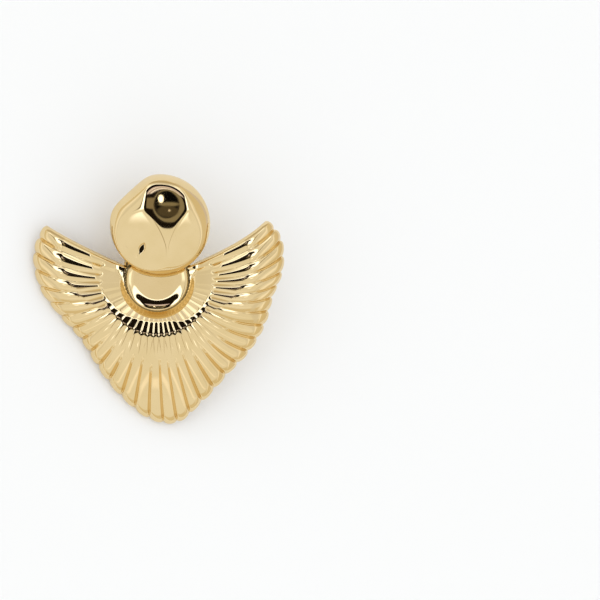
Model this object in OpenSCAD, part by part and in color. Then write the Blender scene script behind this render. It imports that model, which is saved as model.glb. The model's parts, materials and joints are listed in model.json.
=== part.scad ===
// Stud earring: a hammered round head over a ribbed fan with two wings, lying unworn on its back.
// The shapes are worked out face up, with +X to the right, +Y up the face and +Z towards the viewer,
// and at_rest() then lays the finished earring down on its post, its tail and its left wing.

/* [Fan] */
// Radius of the round groove that the ribs start from
groove_r = 5.75; // [5.7:0.05:5.9]
// Radius at which the wall of the groove has rounded into the slope up to the ring
shoulder_r = 6.9; // [6.6:0.1:7.2]
// How the groove's wall is bent: 1 is a straight slope, higher is steeper at its foot
wall_power = 1.8; // [1.4:0.1:2.6]
// Slope that leads up from the groove to the ring where the ribs start
step_slope = 0.36; // [0.25:0.01:0.4]
// Slope of that ring
ring_slope = 0.16; // [0.1:0.01:0.2]
// Most that the slope and the ring lie below the ribs
step_depth = 1.2; // [0.9:0.05:1.25]
// Slope that the ribs rise with, from the ring to their crest
inner_slope = 0.11; // [0.08:0.01:0.12]
// Slope that they fall with just past it
crest_fall = 0.09; // [0.05:0.01:0.15]
// How late the ribs bend sideways on their way to the rim
sweep_power = 2.8; // [2:0.1:4]
// Width of the V-shaped valley between two ribs, as a part of a rib's width
valley_w = 0.27; // [0.2:0.01:0.35]
// Depth of that valley, as a part of a rib's width
valley_d = 0.1; // [0.04:0.01:0.12]
// Thickness of the shell under the ribs' backs
shell_t = 1.25; // [1.1:0.05:1.5]
// Width of the rolled rim, seen from the front
roll_w = 1.5; // [1.2:0.1:1.8]
// Depth of the rolled rim
roll_d = 1.1; // [0.9:0.1:1.3]
// Depth of the notch in the rim between two ribs
notch = 0.42; // [0.2:0.02:0.5]
// How far the rim hangs down past the roll
rim_lip = 0.45; // [0.3:0.05:0.6]
// Depth that the wings' top edges roll down by
edge_roll = 1; // [0.8:0.1:1.2]

/* [Neck] */
// Reach of the neck behind the head, from the button's centre
neck_reach = 9.2; // [8.6:0.1:9.4]
// Reach of the neck where it leaves the wings
neck_root = 6.6; // [6.2:0.1:7]
// Height of the head's seat above the groove's floor
seat_z = 1.5; // [1.45:0.05:1.6]

/* [Button] */
// Radius of the button
button_r = 5.5; // [5.3:0.05:5.6]
// Radius of the level middle of its top
button_flat_r = 3.5; // [3:0.1:3.8]
// Radius that its top rounds down with
button_round = 5.3; // [5:0.1:7]
// Lean of its top towards the head, in degrees
button_lean = 14; // [12:1:20]
// Height of its top at the middle
button_z = 1.66; // [1.5:0.02:1.9]

/* [Head] */
// Radius of the head
head_r = 9; // [8.8:0.05:9.2]
// Height of the head's level facet above its back
head_t = 4.3; // [4:0.1:4.6]
// Height of the head's widest line above its back
head_waist = 0.9; // [0.7:0.1:1.1]
// Distance of the head's centre to the right of the button's
head_x = 0.5; // [0.4:0.1:0.6]
// Distance of the head's centre above the button's
head_y = 10; // [9.9:0.1:10.2]
// Distance from the centre to the flat on the head's upper left side
head_flat = 8.1; // [7.8:0.05:8.4]
// Rise of the head's side within a millimetre of its lower edge
side_rise = 1.45; // [1.3:0.05:1.6]
// Rise of its side within a millimetre of its top edge
top_rise = 2.6; // [2:0.1:2.8]

/* [Post] */
// Radius of the post
post_r = 0.4; // [0.35:0.05:0.5]
// Length of the post from its pad to its tip
post_l = 10.4; // [9.5:0.1:11]
// Radius of the solder pad
pad_r = 1.7; // [1.5:0.1:1.8]
// Thickness of the solder pad
pad_t = 0.7; // [0.5:0.1:0.8]
// Distance of the post above the head's centre
post_up = 1.7; // [1.6:0.1:3]

/* [Hidden] */
// Gap between pieces that are seated on each other
seat_gap = 0.05;

// The fan's sections, one row for every second valley between ribs, from the left wing round to the right.
// root and tip: the valley's angle at the groove and at the rim. reach, step, edge and crest: distance from the
// button's centre to the rim, to the ring's inner and outer edges and to the ribs' highest line. height: height
// of that line. bow: radius that a rib's back has past the crest. fall: slope in degrees that the ribs fall
// away at towards the rim. relief: how round the ribs are past the ring, compared with those of the wings.
ROOT = 0;
TIP = 1;
REACH = 2;
STEP = 3;
EDGE = 4;
CREST = 5;
HEIGHT = 6;
BOW = 7;
FALL = 8;
RELIEF = 9;
SECTIONS = [
    // root, tip,   reach, step, edge, crest, height, bow,  fall, relief
    [155.5, 153.5, 22.6,  13.2, 13.2, 18.4,  2.55,   10,   24,   1],
    [174.5, 166.7, 22.9,  11.3, 11.3, 16.9,  2.45,   12,   24,   1],
    [190,   182.5, 21.4,  10.3, 10.5, 14.6,  2.12,   15,   24,   1],
    [205.2, 200.2, 18.8,  9.3,  10.1, 11.8,  1.68,   14.5, 24,   0.9],
    [221.2, 217.7, 17.55, 8.7,  9.8,  9.8,   1.43,   15,   23,   0.5],
    [237.2, 235.2, 19,    8,    9.8,  9.8,   1.43,   20,   24,   0.25],
    [252.7, 252.7, 22.1,  7.6,  9.8,  9.8,   1.43,   22,   25,   0.12],
    [265.8, 266.7, 25.2,  7.5,  9.8,  9.8,   1.43,   22,   26,   0.12],
    [277.4, 278,   26.15, 7.5,  9.8,  9.8,   1.43,   22,   26,   0.12],
    [289,   290.2, 23.6,  7.7,  9.8,  9.8,   1.43,   22,   25,   0.12],
    [302.6, 306.2, 21.4,  8.6,  9.85, 9.85,  1.43,   18,   24,   0.25],
    [315.5, 322.5, 21.15, 9,    9.95, 9.95,  1.44,   14,   23,   0.55],
    [329.5, 337.7, 21.15, 9.35, 10.1, 11.2,  1.61,   15.5, 23,   0.9],
    [342.2, 352,   21.25, 9.7,  10.5, 13.6,  1.96,   14.5, 24,   1],
    [355.2, 364.2, 22.8,  10.4, 10.8, 15.2,  2.25,   14,   24,   1],
    [367.5, 378.5, 23.75, 11.2, 11.4, 16.8,  2.48,   11,   24,   1],
    [384.5, 389,   22.7,  13.2, 13.2, 17.3,  2.55,   10,   24,   1],
];
RIBS_PER_ROW = 2;
ribs = (len(SECTIONS) - 1) * RIBS_PER_ROW;
// Places across a rib, from one valley to the next, at which its round back is worked out
ACROSS = [-1, valley_w - 1, -0.4, 0, 0.4, 1 - valley_w];
// Places along a rib, from the shoulder to where the rim starts to roll
ALONG = [0.09, 0.19, 0.26, 0.34, 0.46, 0.6, 0.8, 1];
// Places down the groove's wall, from its floor to the shoulder
WALL = [0, 0.1, 0.38, 1];
// Angles round the rolled rim
ROLL = [24, 48, 70, 90];
// Places along the smooth back, from the shoulder to the rim
BACK_ALONG = [0.35, 0.68, 0.96];
// Columns round the neck, between the two wings
neck_columns = 13;
// Softness of the ring's edges and of the ribs' crests
step_soft = 0.06;
crest_soft = 0.1;
// How round the ribs are, as a depth over their width: near the groove, past the ring and at the rim
ROOT_ROUND = 0.04;
FULL_ROUND = 0.2;
RIM_ROUND = 0.09;
// Distances from the button's centre between which the ribs grow round, and at which they are as at the rim
ROUND_FROM = 9.95;
ROUND_FULL = 10.35;
ROUND_RIM = 16;
// The valleys open at this distance plus a part of the crest's, within a run
VALLEY_START = 10.2;
VALLEY_CREST = 0.55;
VALLEY_RUN = 1.4;

// The head's facets: the direction each falls in, how far from the centre it starts, its slope, the radius that
// it bulges with, the spot that it bulges about, and for a long flute the direction of its length. The
// directions and slopes are in degrees.
FALLS = 0;
START = 1;
SLOPE = 2;
BULGE = 3;
BULGE_X = 4;
BULGE_Y = 5;
FLUTE = 6;
FACETS = [
    // falls, start, slope, bulge, x, y, flute
    [0,     0,    0,    46,  1.25, 4.2],
    [222,   0.03, 12.5, 100, 1.25, 4.2],
    [322.5, 2.15, 15,   100, 1.25, 4.2],
    [168,   3.25, 19,   25,  -5.4, 3.65, 43],
    [8,     5,    20,   40,  6.75, 3.5,  -58],
    [88,    7.16, 16,   60,  1.25, 4.2],
];
// Direction of the flat on the head's side
head_flat_dir = 133;
// Softness of the edges between facets, of the sharp lower edge and of the round upper shoulder
facet_soft = 0.12;
edge_soft = 0.07;
shoulder_soft = 0.45;
// Bulge of the head's side
side_power = 0.72;
// Columns round the head, and its rings as parts of its radius
head_columns = 72;
HEAD_RINGS = [0.12, 0.25, 0.37, 0.48, 0.58, 0.67, 0.75, 0.81, 0.85, 0.89, 0.94, 0.98, 1];

function mix(a, b, t) = a + (b - a) * t;
function unit(v) = v / norm(v);
function spline(a, b, c, d, t) =
    b + t * (c - a + t * (2 * a - 5 * b + 4 * c - d + t * (3 * b - 3 * c + d - a))) / 2;
function row(i, what) =
    let (last = len(SECTIONS) - 1)
    i < 0 ? 2 * SECTIONS[0][what] - SECTIONS[1][what] :
    i > last ? 2 * SECTIONS[last][what] - SECTIONS[last - 1][what] : SECTIONS[i][what];

// A section's value at a place round the fan, counted in ribs from the left wing's top edge
function at(rib, what) =
    let (s = rib / RIBS_PER_ROW, i = min(floor(s), len(SECTIONS) - 2))
    spline(row(i - 1, what), row(i, what), row(i + 1, what), row(i + 2, what), s - i);

// Level of the ribs' backs: they fall away both ways from their crest, and then down the ring to the groove
function soft_above(x, soft) = x > 20 * soft ? x : soft * ln(1 + exp(x / soft));
function bowed(rib, r) =
    let (past = r - at(rib, CREST), fall = tan(at(rib, FALL)) - crest_fall, b = at(rib, BOW) * fall)
    inner_slope * soft_above(-past, crest_soft) + crest_fall * soft_above(past, crest_soft)
    + b * fall * (sqrt(1 + pow(max(0, past) / b, 2)) - 1);
function step(rib, r) =
    let (
        ring = (ring_slope - inner_slope) * soft_above(at(rib, EDGE) - r, step_soft),
        slope = (step_slope - ring_slope) * soft_above(at(rib, STEP) - r, step_soft)
    )
    step_depth - soft_above(step_depth - ring - slope, step_soft);
function wall(r) = 1 - pow(max(0, shoulder_r - r) / (shoulder_r - groove_r), wall_power);
function level(rib, r) = (at(rib, HEIGHT) - bowed(rib, r) - step(rib, r)) * wall(r);

// Direction of a rib line, and the width of a rib, at a distance from the button's centre
function heading(rib, r) =
    let (t = max(0, (r - groove_r) / (at(rib, REACH) - groove_r)))
    mix(at(rib, ROOT), at(rib, TIP), pow(t, sweep_power));
function width(rib, r) = r * (heading(rib + 0.5, r) - heading(rib - 0.5, r)) * PI / 180;

// Depth below a rib's back at a place across it. The two outermost half ribs roll down to the wings' top edges.
function outermost(rib) = rib < 0.5 || rib > ribs - 0.5;
function share(r, from, to) = min(1, max(0, (r - from) / (to - from)));
function eased(t) = t * t * (3 - 2 * t);
function crown(rib, r) =
    let (rounded = mix(at(rib, RELIEF) * FULL_ROUND, RIM_ROUND, share(r, ROUND_FULL, ROUND_RIM)))
    mix(ROOT_ROUND, rounded, eased(share(r, ROUND_FROM, ROUND_FULL)));
function valley(rib, u, r) =
    let (from = VALLEY_START + VALLEY_CREST * at(rib, CREST))
    valley_d * eased(share(r, from, from + VALLEY_RUN)) * share(abs(u), 1 - valley_w, 1);
function relief(rib, u, r) =
    sqrt(wall(r)) * (outermost(rib)
        ? edge_roll * pow(abs(u), 3)
        : (crown(rib, r) * u * u + valley(rib, u, r)) * width(rib, r));

// A column is a place round the fan: [rib, u], with u across the rib from -1 to 1
COLUMNS = concat([for (k = [0:ribs - 1], u = ACROSS) [k + (u + 1) / 2, u]], [[ribs, 1]]);
function lobe(c) = at(c[0], REACH) - notch * pow(abs(c[1]), 2.5);
function spot(rib, r, z) = let (a = heading(rib, r)) [r * cos(a), r * sin(a), z];
function front(c, r, drop) = spot(c[0], r, level(c[0], r) - relief(c[0], c[1], r) - drop);
function column_front(c) =
    let (end = lobe(c) - roll_w)
    concat(
        [for (w = WALL) let (r = mix(groove_r, shoulder_r, w)) front(c, r, 0)],
        [for (t = ALONG) front(c, mix(shoulder_r, end, t), 0)],
        [for (a = ROLL) front(c, lobe(c) - roll_w * (1 - sin(a)), roll_d * (1 - cos(a)))]
    );
function column_back(c) =
    concat(
        [spot(c[0], groove_r, -shell_t), spot(c[0], shoulder_r, level(c[0], shoulder_r) - shell_t)],
        [for (t = BACK_ALONG)
            let (r = mix(shoulder_r, at(c[0], REACH) - roll_w / 2, t))
            spot(c[0], r, level(c[0], r) - shell_t)],
        [let (r = lobe(c))
            spot(c[0], r - rim_lip / 2, level(c[0], r) - relief(c[0], c[1], r) - roll_d - rim_lip)]
    );

// The neck closes the ring of columns behind the head. Its top is the head's seat.
function neck_r(t) = mix(neck_root, neck_reach, sin(180 * t));
function neck_angle(t) = mix(at(ribs, ROOT), at(0, ROOT) + 360, t);
function neck_spot(t, r, z) = let (a = neck_angle(t)) [r * cos(a), r * sin(a), z];
function neck_front(t) = [for (w = WALL)
    neck_spot(t, w == 0 ? groove_r : mix(groove_r + 0.05, neck_r(t), w), w == 0 ? 0 : seat_z)];
function neck_back(t) = [neck_spot(t, groove_r, -shell_t), neck_spot(t, neck_r(t), -shell_t)];
NECK = [for (k = [1:neck_columns]) k / (neck_columns + 1)];

// Points of the fan: the two middles, then the front and back of the ribs, then those of the neck
front_n = len(WALL) + len(ALONG) + len(ROLL);
back_n = len(BACK_ALONG) + 3;
inner_n = len(WALL);
n_ribs = len(COLUMNS);
n_all = n_ribs + neck_columns;
neck_from = 2 + n_ribs * (front_n + back_n);
function front_at(c, k) = c < n_ribs ? 2 + c * front_n + k : neck_from + (c - n_ribs) * inner_n + k;
function back_at(c, k) = c < n_ribs
    ? 2 + n_ribs * front_n + c * back_n + k
    : neck_from + neck_columns * inner_n + (c - n_ribs) * 2 + k;
FAN_POINTS = concat(
    [[0, 0, 0], [0, 0, -shell_t]],
    [for (c = COLUMNS, p = column_front(c)) p],
    [for (c = COLUMNS, p = column_back(c)) p],
    [for (t = NECK, p = neck_front(t)) p],
    [for (t = NECK, p = neck_back(t)) p]
);
function patch(a, b, c, d) = [[a, b, c], [a, c, d]];
function flipped(faces) = [for (f = faces) [f[2], f[1], f[0]]];
// Strip down a wing's top edge, from its back to its front. Each back point serves several front points.
BACK_TO_FRONT = [inner_n - 1, inner_n + 2, inner_n + 5, inner_n + len(ALONG) - 1, front_n - 1];
function edge_strip(c) = [
    for (k = [0:len(BACK_TO_FRONT) - 2])
        let (from = BACK_TO_FRONT[k], to = BACK_TO_FRONT[k + 1])
        each concat(
            [for (f = [from:to - 1]) [back_at(c, k + 1), front_at(c, f), front_at(c, f + 1)]],
            [[back_at(c, k + 1), front_at(c, to), back_at(c, k + 2)]]
        )
];
FAN_FACES = concat(
    [for (c = [0:n_all - 1]) let (d = (c + 1) % n_all) each concat(
        [[0, front_at(d, 0), front_at(c, 0)], [1, back_at(c, 0), back_at(d, 0)]],
        [for (k = [0:inner_n - 2])
            each patch(front_at(c, k), front_at(d, k), front_at(d, k + 1), front_at(c, k + 1))],
        patch(back_at(c, 1), back_at(d, 1), back_at(d, 0), back_at(c, 0))
    )],
    [for (c = [0:n_ribs - 2]) let (d = c + 1) each concat(
        [for (k = [inner_n - 1:front_n - 2])
            each patch(front_at(c, k), front_at(d, k), front_at(d, k + 1), front_at(c, k + 1))],
        [for (k = [1:back_n - 2])
            each patch(back_at(c, k + 1), back_at(d, k + 1), back_at(d, k), back_at(c, k))],
        patch(front_at(c, front_n - 1), front_at(d, front_n - 1),
            back_at(d, back_n - 1), back_at(c, back_n - 1))
    )],
    [for (c = [n_ribs - 1:n_all - 1]) let (d = (c + 1) % n_all)
        each patch(front_at(c, inner_n - 1), front_at(d, inner_n - 1), back_at(d, 1), back_at(c, 1))],
    edge_strip(0),
    flipped(edge_strip(n_ribs - 1))
);

// The head's front is the lowest of its facets and its side, with softened edges
function soft_min(zs, soft) =
    let (low = min(zs))
    low - soft * ln([for (z = zs) 1] * [for (z = zs) exp((low - z) / soft)]);
function facet_z(f, x, y) =
    let (
        from_x = x - f[BULGE_X],
        from_y = y - f[BULGE_Y],
        far = len(f) > FLUTE
            ? pow(from_y * cos(f[FLUTE]) - from_x * sin(f[FLUTE]), 2)
            : from_x * from_x + from_y * from_y
    )
    head_t - tan(f[SLOPE]) * (x * cos(f[FALLS]) + y * sin(f[FALLS]) - f[START]) - far / (2 * f[BULGE]);
function head_radius(a) =
    let (c = cos(a - head_flat_dir))
    c < 0.5 ? head_r : soft_min([head_r, head_flat / c], 0.4);
function head_z(a, r) =
    let (
        x = r * cos(a),
        y = r * sin(a),
        rise = mix(side_rise, top_rise, pow(max(sin(a), 0), 2)),
        side = head_waist + rise * pow(max(0, head_radius(a) - r), side_power),
        soft = mix(edge_soft, shoulder_soft, (1 + sin(a)) / 2)
    )
    max(head_waist, soft_min([soft_min([for (f = FACETS) facet_z(f, x, y)], facet_soft), side], soft));
function head_spot(a, r, z) = [head_x + r * cos(a), head_y + r * sin(a), seat_z + seat_gap + z];
function head_column(a) = concat(
    [for (q = HEAD_RINGS) let (r = q * head_radius(a)) head_spot(a, r, q == 1 ? head_waist : head_z(a, r))],
    [head_spot(a, head_radius(a) - 0.12, head_waist / 3), head_spot(a, head_radius(a) - 0.45, 0)]
);
head_n = len(HEAD_RINGS) + 2;
HEAD_POINTS = concat(
    [head_spot(0, 0, head_z(0, 0)), head_spot(0, 0, 0)],
    [for (k = [0:head_columns - 1], p = head_column(360 * k / head_columns)) p]
);
function head_at(c, k) = 2 + (c % head_columns) * head_n + k;
HEAD_FACES = [for (c = [0:head_columns - 1]) each concat(
    [[0, head_at(c + 1, 0), head_at(c, 0)], [1, head_at(c, head_n - 1), head_at(c + 1, head_n - 1)]],
    [for (k = [0:head_n - 2])
        each patch(head_at(c, k), head_at(c + 1, k), head_at(c + 1, k + 1), head_at(c, k + 1))]
)];

// The post's tip, a half ball
post_spot = [head_x, head_y + post_up, seat_z];
tip_middle = post_spot - [0, 0, pad_t + post_l - post_r];

// The earring rests on the post's tip, its left wing and its tail. The floor's normal is found by turns:
// the lowest points for one normal give the next.
TAIL_POINTS = [for (p = FAN_POINTS) if (p[1] < -20) p];
WING_POINTS = [for (p = FAN_POINTS) if (p[0] < -12) p];
function lowest(points, n) =
    let (h = points * n, m = min(h))
    [for (i = [0:len(points) - 1]) if (h[i] == m) points[i]][0];
function settled(n, turns) =
    turns == 0 ? n :
    let (
        tip = tip_middle - post_r * n,
        tail = lowest(TAIL_POINTS, n),
        wing = lowest(WING_POINTS, n)
    )
    settled(unit(cross(tip - tail, wing - tail)), turns - 1);
floor_normal = settled([0, 0, 1], 8);
floor_y = unit([0, 1, 0] - floor_normal[1] * floor_normal);
floor_x = cross(floor_y, floor_normal);
rest_turn = [
    atan2(floor_normal[1], floor_normal[2]),
    -asin(floor_normal[0]),
    atan2(floor_y[0], floor_x[0])
];
ALL_POINTS = concat(FAN_POINTS, HEAD_POINTS);
function middle(v) = (min(v) + max(v)) / 2;
rest_shift = [
    -middle(ALL_POINTS * floor_x),
    -middle(ALL_POINTS * floor_y),
    post_r - tip_middle * floor_normal
];
module at_rest() {
    translate(rest_shift) rotate(rest_turn) children();
}

module fan() {
    color("#dcbc80") at_rest() polyhedron(FAN_POINTS, FAN_FACES);
}

module fan_button() {
    lean = [-button_lean, 0, 0];
    reach = button_r / cos(button_lean) + 0.3;
    drop = reach - button_flat_r;
    color("#e6cc94") at_rest() intersection() {
        translate([0, 0, seat_gap]) cylinder(r = button_r, h = 2 * button_z, $fn = 96);
        translate([0, 0, button_z]) rotate(lean) difference() {
            translate([0, 0, -4 * button_z]) cylinder(r = reach, h = 4 * button_z, $fn = 96);
            rotate_extrude($fn = 96) difference() {
                translate([button_flat_r, -drop]) square([drop + 1, drop + 1]);
                translate([button_flat_r, -button_round]) circle(r = button_round, $fn = 96);
            }
        }
    }
}

module stud_head() {
    color("#e2c48a") at_rest() polyhedron(HEAD_POINTS, HEAD_FACES);
}

module ear_post() {
    color("#d8b678") at_rest() translate(post_spot) {
        translate([0, 0, -pad_t]) cylinder(r = pad_r, h = pad_t, $fn = 64);
        translate([0, 0, post_r - pad_t - post_l]) {
            cylinder(r = post_r, h = post_l - post_r, $fn = 48);
            sphere(r = post_r, $fn = 48);
        }
    }
}

fan();
fan_button();
stud_head();
ear_post();
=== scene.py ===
"""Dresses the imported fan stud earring: fine polished pieces, plated gold and a soft studio.

Shapes are worked out on the earring's own face, in millimetres: +X to the right, +Y up the face
and +Z to the viewer, with the origin at the button's centre on the floor of its groove. FaceFrame
then lays them in the row frame, in metres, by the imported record's post.
"""

import json
import logging
import math
from dataclasses import dataclass
from enum import Enum
from typing import NamedTuple

import bpy
import numpy as np
from mathutils import Matrix, Vector


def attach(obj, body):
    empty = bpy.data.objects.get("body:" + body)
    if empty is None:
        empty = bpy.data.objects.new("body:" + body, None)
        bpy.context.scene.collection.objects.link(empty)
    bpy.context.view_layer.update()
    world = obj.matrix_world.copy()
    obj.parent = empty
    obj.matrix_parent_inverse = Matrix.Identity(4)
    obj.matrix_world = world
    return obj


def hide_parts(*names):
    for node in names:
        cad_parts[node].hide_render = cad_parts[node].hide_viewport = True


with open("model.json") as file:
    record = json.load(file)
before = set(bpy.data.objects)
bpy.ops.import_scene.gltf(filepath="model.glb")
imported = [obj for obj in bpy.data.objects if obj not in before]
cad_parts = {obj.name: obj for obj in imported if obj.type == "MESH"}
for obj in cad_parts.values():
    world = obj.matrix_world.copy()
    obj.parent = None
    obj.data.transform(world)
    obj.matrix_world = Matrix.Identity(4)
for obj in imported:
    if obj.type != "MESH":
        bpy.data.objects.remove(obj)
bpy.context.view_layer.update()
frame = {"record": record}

log = logging.getLogger("earring")

Tree = bpy.types.NodeTree
Socket = bpy.types.NodeSocket
Colour = tuple[float, float, float]

MM = 0.001
BODY = "root"
# A point past this share of a disc's radius lies on its edge
EDGE_SHARE = 0.999999
# Where a colour mix node has its two colours and its result
MIX_A, MIX_B, MIX_RESULT = 6, 7, 2


class Slot(Enum):
    """The record's material slots."""

    FAN = "fan_gold"
    BUTTON = "button_gold"
    HEAD = "head_gold"
    POST = "post_gold"


# Working by hand: selecting, editing and finishing


def deselect_all() -> None:
    """Leaves edit mode and clears the selection."""
    if bpy.context.object and bpy.context.object.mode != "OBJECT":
        bpy.ops.object.mode_set(mode="OBJECT")
    bpy.ops.object.select_all(action="DESELECT")


def pick(obj: bpy.types.Object) -> None:
    """Makes one object the selected and active one.

    Args:
        obj: the object.
    """
    deselect_all()
    obj.select_set(True)
    bpy.context.view_layer.objects.active = obj


def points_of(obj: bpy.types.Object) -> np.ndarray:
    """Reads a mesh's points.

    Args:
        obj: the mesh object.

    Returns:
        One row for each point.
    """
    flat = np.empty(len(obj.data.vertices) * 3)
    obj.data.vertices.foreach_get("co", flat)
    return flat.reshape(-1, 3)


def put_points(obj: bpy.types.Object, points: np.ndarray) -> None:
    """Moves a mesh's points to new places, one row each."""
    obj.data.vertices.foreach_set("co", np.asarray(points, float).ravel())
    obj.data.update()


def select_loops(obj: bpy.types.Object, wanted: np.ndarray) -> None:
    """Selects the edges of a mesh whose two points are both wanted, ready for an edit.

    Args:
        obj: the mesh object, in object mode.
        wanted: one truth value for each point.
    """
    pick(obj)
    bpy.ops.object.mode_set(mode="EDIT")
    bpy.ops.mesh.select_mode(type="VERT")
    bpy.ops.mesh.select_all(action="DESELECT")
    bpy.ops.object.mode_set(mode="OBJECT")
    for vertex, chosen in zip(obj.data.vertices, wanted):
        vertex.select = bool(chosen)
    for edge in obj.data.edges:
        edge.select = bool(wanted[edge.vertices[0]] and wanted[edge.vertices[1]])
    bpy.ops.object.mode_set(mode="EDIT")


def new_sheet(name: str, across: int,
              along: int) -> tuple[bpy.types.Object, np.ndarray, np.ndarray]:
    """Adds a flat grid to be shaped, and says where each of its points lies on it.

    Args:
        name: name of the piece.
        across: number of faces along X.
        along: number of faces along Y.

    Returns:
        The object, and each point's column and row, counted from 0.
    """
    deselect_all()
    bpy.ops.mesh.primitive_grid_add(x_subdivisions=across, y_subdivisions=along, size=1)
    obj = bpy.context.object
    obj.name = obj.data.name = name
    # The grid is 1 wide about its middle
    flat = points_of(obj) + 0.5
    return obj, np.rint(flat[:, 0] * across), np.rint(flat[:, 1] * along)


def close_normals(obj: bpy.types.Object) -> None:
    """Turns all faces of a closed piece outwards.

    Args:
        obj: the piece.
    """
    pick(obj)
    bpy.ops.object.mode_set(mode="EDIT")
    bpy.ops.mesh.select_all(action="SELECT")
    bpy.ops.mesh.normals_make_consistent(inside=False)
    bpy.ops.object.mode_set(mode="OBJECT")


def close_round(obj: bpy.types.Object, column: np.ndarray, row: np.ndarray) -> None:
    """Closes a shaped sheet: its first and last rows are bridged, and its two open ends filled.

    Args:
        obj: the shaped sheet.
        column: each point's column on it.
        row: each point's row on it.
    """
    select_loops(obj, (row == 0) | (row == row.max()))
    bpy.ops.mesh.bridge_edge_loops()
    bpy.ops.object.mode_set(mode="OBJECT")
    for end in (0, column.max()):
        select_loops(obj, column == end)
        bpy.ops.mesh.fill()
        bpy.ops.object.mode_set(mode="OBJECT")
    close_normals(obj)


def turned(name: str, profile: list[tuple[float, float]], sides: int) -> bpy.types.Object:
    """Turns a piece as on a lathe: a disc is extruded upwards and scaled at each step.

    Args:
        name: name of the piece.
        profile: radius and height of each ring, from the bottom up, in millimetres.
        sides: number of sides.

    Returns:
        The closed piece, standing on the face's origin.
    """
    deselect_all()
    radius, height = profile[0]
    bpy.ops.mesh.primitive_circle_add(
        vertices=sides, radius=radius, fill_type="NGON", location=(0, 0, height))
    obj = bpy.context.object
    obj.name = obj.data.name = name
    bpy.ops.object.transform_apply(location=True, rotation=False, scale=False)
    bpy.ops.object.mode_set(mode="EDIT")
    bpy.ops.mesh.select_all(action="SELECT")
    for next_radius, next_height in profile[1:]:
        bpy.ops.mesh.extrude_region_move(
            TRANSFORM_OT_translate={"value": (0, 0, next_height - height)})
        share = next_radius / radius
        bpy.ops.transform.resize(value=(share, share, 1), center_override=(0, 0, 0))
        radius, height = next_radius, next_height
    bpy.ops.object.mode_set(mode="OBJECT")
    close_normals(obj)
    return obj


def mix(a: np.ndarray | float, b: np.ndarray | float, t: np.ndarray | float) -> np.ndarray:
    """Goes from a to b as t goes from 0 to 1."""
    return a + (b - a) * t


def ease(t: np.ndarray) -> np.ndarray:
    """Goes from 0 to 1 as t does, with both ends level."""
    return t * t * (3 - 2 * t)


def ramp(x: np.ndarray, soft: float) -> np.ndarray:
    """Stays at 0 below 0 and follows x above it, with the turn rounded over a length."""
    return soft * np.logaddexp(0, x / soft)


def soft_min(levels: list[np.ndarray], soft: np.ndarray | float) -> np.ndarray:
    """Takes the lowest of several levels, with the edges between them rounded by a length."""
    low = np.minimum.reduce(levels)
    return low - soft * np.log(sum(np.exp((low - level) / soft) for level in levels))


def quarter(steps: int, first: int) -> list[float]:
    """Gives the angles, in radians, of a quarter turn in equal steps, from the first one on."""
    return [math.radians(90 * k / steps) for k in range(first, steps + 1)]


@dataclass(frozen=True)
class FaceFrame:
    """Where the earring's face lies in the row frame.

    Attributes:
        post_middle: middle of the post's straight wall, in the row frame, in metres.
        normal: the way the face looks.
        post_x: place of the post on the face, to the right of the button, in millimetres.
        post_y: place of the post on the face, above the button, in millimetres.
        post_z: height of the middle of the post's wall over the groove's floor, in millimetres.
    """

    post_middle: Vector
    normal: Vector
    post_x: float = 0.5
    post_y: float = 11.7
    post_z: float = -4.2

    @classmethod
    def from_record(cls, record: dict) -> "FaceFrame":
        """Reads the post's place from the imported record."""
        post = next(m for m in record["mounts"] if m["name"] == "ear_post")
        return cls(Vector(post["pos_m"]), -Vector(post["axis"]).normalized())

    @property
    def up(self) -> Vector:
        """The way that goes up the face."""
        return self.normal.cross(Vector((1, 0, 0))).normalized()

    @property
    def right(self) -> Vector:
        """The way that goes to the right on the face."""
        return self.up.cross(self.normal)

    def at(self, x: float, y: float, z: float) -> Vector:
        """Finds a point of the face in the row frame.

        Args:
            x: its place to the right of the button's centre, in millimetres.
            y: its place above the button's centre, in millimetres.
            z: its height over the groove's floor, in millimetres.

        Returns:
            Its place in metres.
        """
        aside = (x - self.post_x) * self.right
        upwards = (y - self.post_y) * self.up
        outwards = (z - self.post_z) * self.normal
        return self.post_middle + (aside + upwards + outwards) * MM

    def matrix(self) -> Matrix:
        """Gives the matrix from face millimetres to row metres."""
        turn = Matrix((self.right, self.up, self.normal)).transposed().to_4x4()
        return Matrix.Translation(self.at(0, 0, 0)) @ turn @ Matrix.Scale(MM, 4)

    def lay(self, obj: bpy.types.Object) -> None:
        """Lays a piece that was made on the face in its place, and keeps the place in its mesh.

        Args:
            obj: the piece.
        """
        pick(obj)
        bpy.ops.object.transform_apply(location=True, rotation=True, scale=True)
        obj.data.transform(self.matrix())
        obj.data.update()


# Finishes


def map_range(tree: Tree, value: Socket, start: float, end: float) -> bpy.types.Node:
    """Adds a node that goes from 0 to 1 as a value goes from a start to an end.

    Args:
        tree: the nodes that it is added to.
        value: the value.
        start: the value at which the node gives 0.
        end: the value at which the node gives 1.

    Returns:
        The node.
    """
    node = tree.nodes.new("ShaderNodeMapRange")
    node.inputs["From Min"].default_value = start
    node.inputs["From Max"].default_value = end
    tree.links.new(value, node.inputs["Value"])
    return node


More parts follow.
